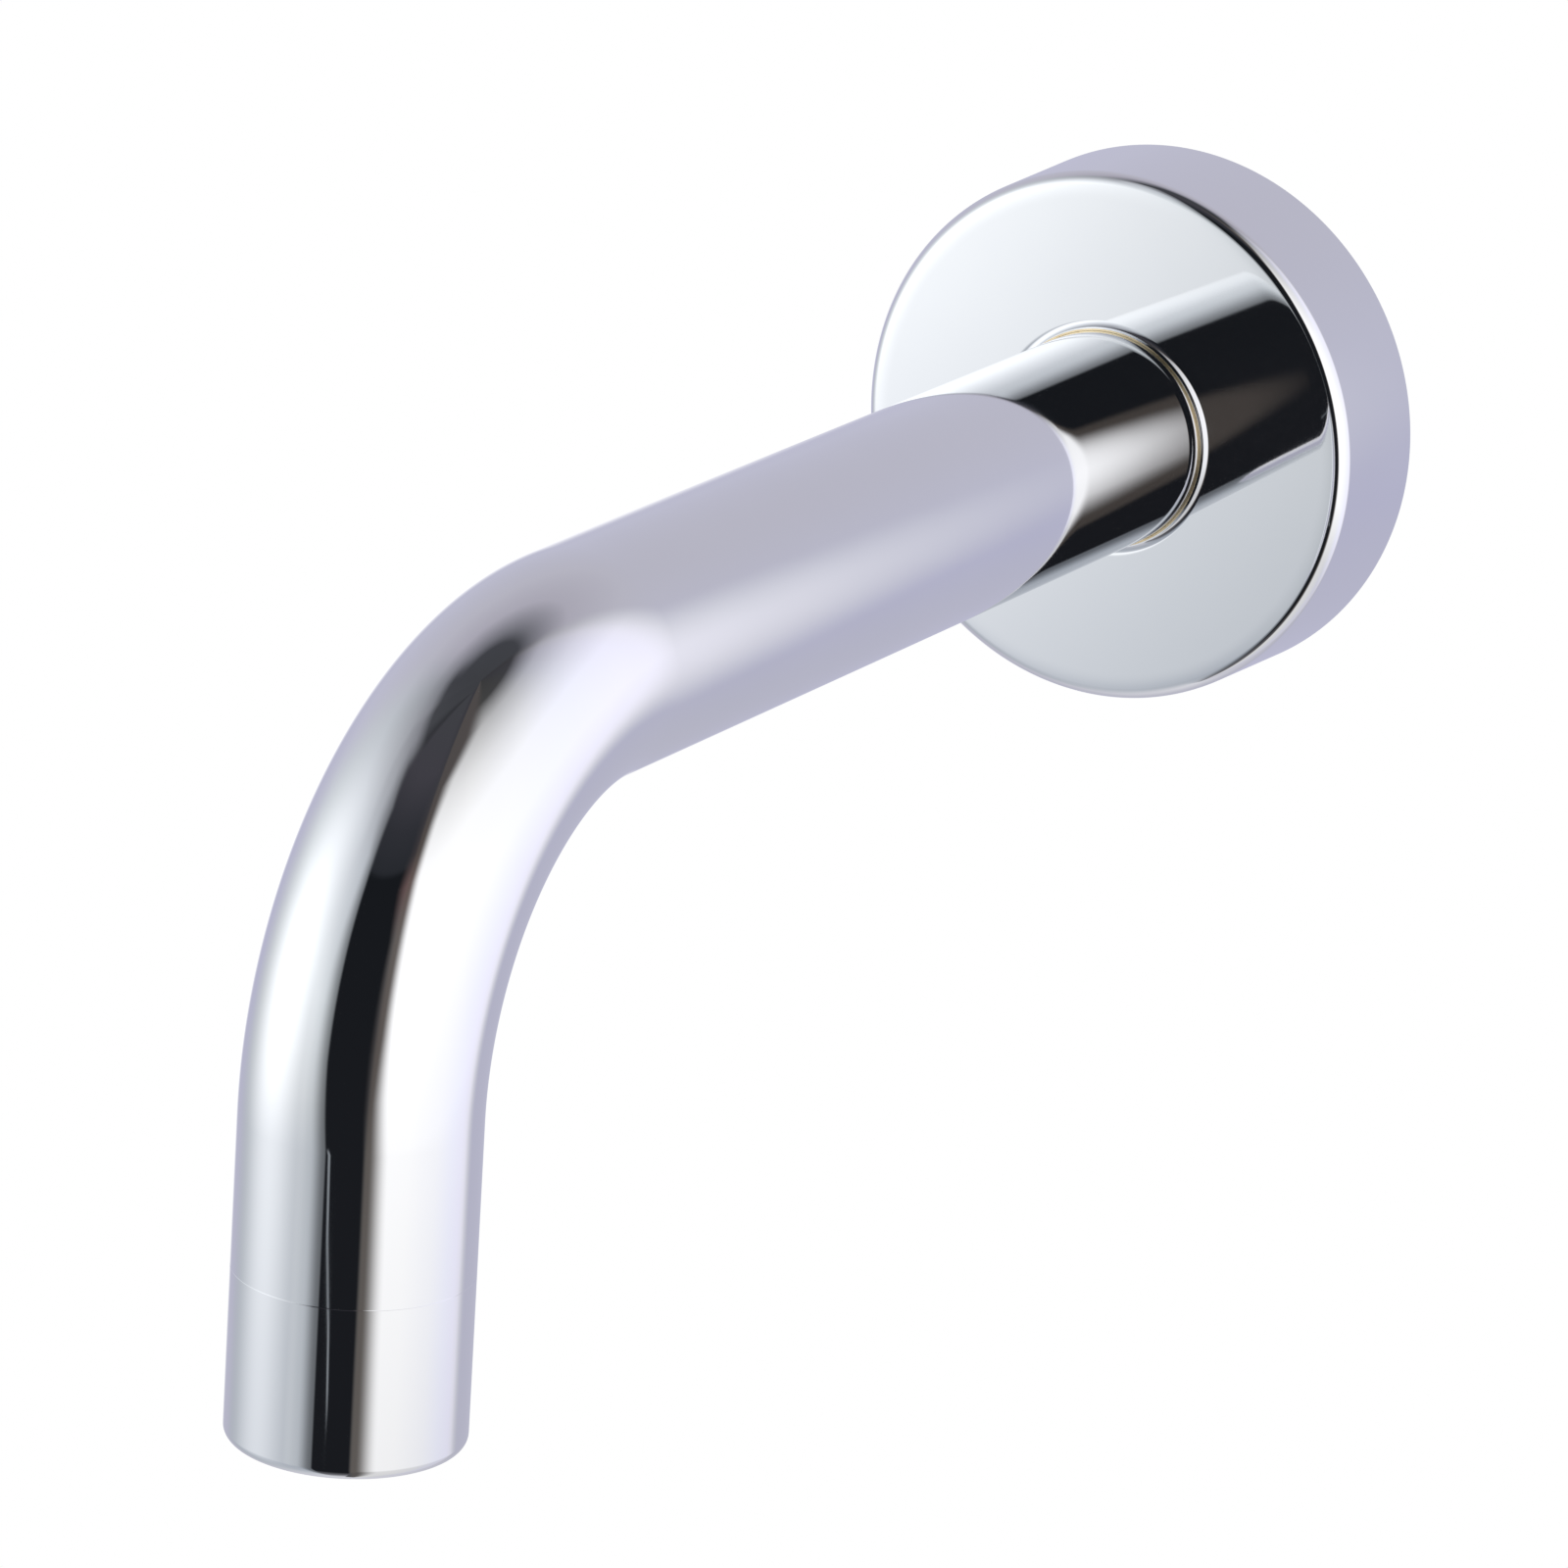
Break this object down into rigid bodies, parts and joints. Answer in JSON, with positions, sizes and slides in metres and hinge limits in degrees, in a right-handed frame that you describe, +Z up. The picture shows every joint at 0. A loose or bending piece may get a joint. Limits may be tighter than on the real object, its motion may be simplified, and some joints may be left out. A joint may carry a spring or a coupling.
{
  "type": "wall spout",
  "caption": "Chrome wall spout: round tube arm from a round wall flange, bent down to a screwed aerator outlet of the tube's own diameter.",
  "frame": {"origin": "where the inlet's axis meets the wall plane, at the back of the flange", "axes": "+Y along the inlet's axis into the wall, +Z up, so the spout reaches out to -Y and its outlet points to -Z"},
  "size_m": [0.0621, 0.186, 0.1041],
  "materials": {
    "chrome": "polished chrome plate on brass",
    "brass": "turned",
    "rubber": "matt moulded",
    "cartridge_plastic": "moulded acetal",
    "jet_plastic": "moulded acetal",
    "screen_plastic": "moulded acetal"
  },
  "bodies": {
    "root": {"spout_tube": "chrome", "wall_flange": "chrome", "aerator_housing": "chrome", "inlet_socket": "brass", "outlet_spigot": "brass", "flange_o_ring": "rubber", "aerator_washer": "rubber", "aerator_cartridge": "cartridge_plastic", "aerator_jet_plate": "jet_plastic", "aerator_screen": "screen_plastic"}
  },
  "joints": []
}
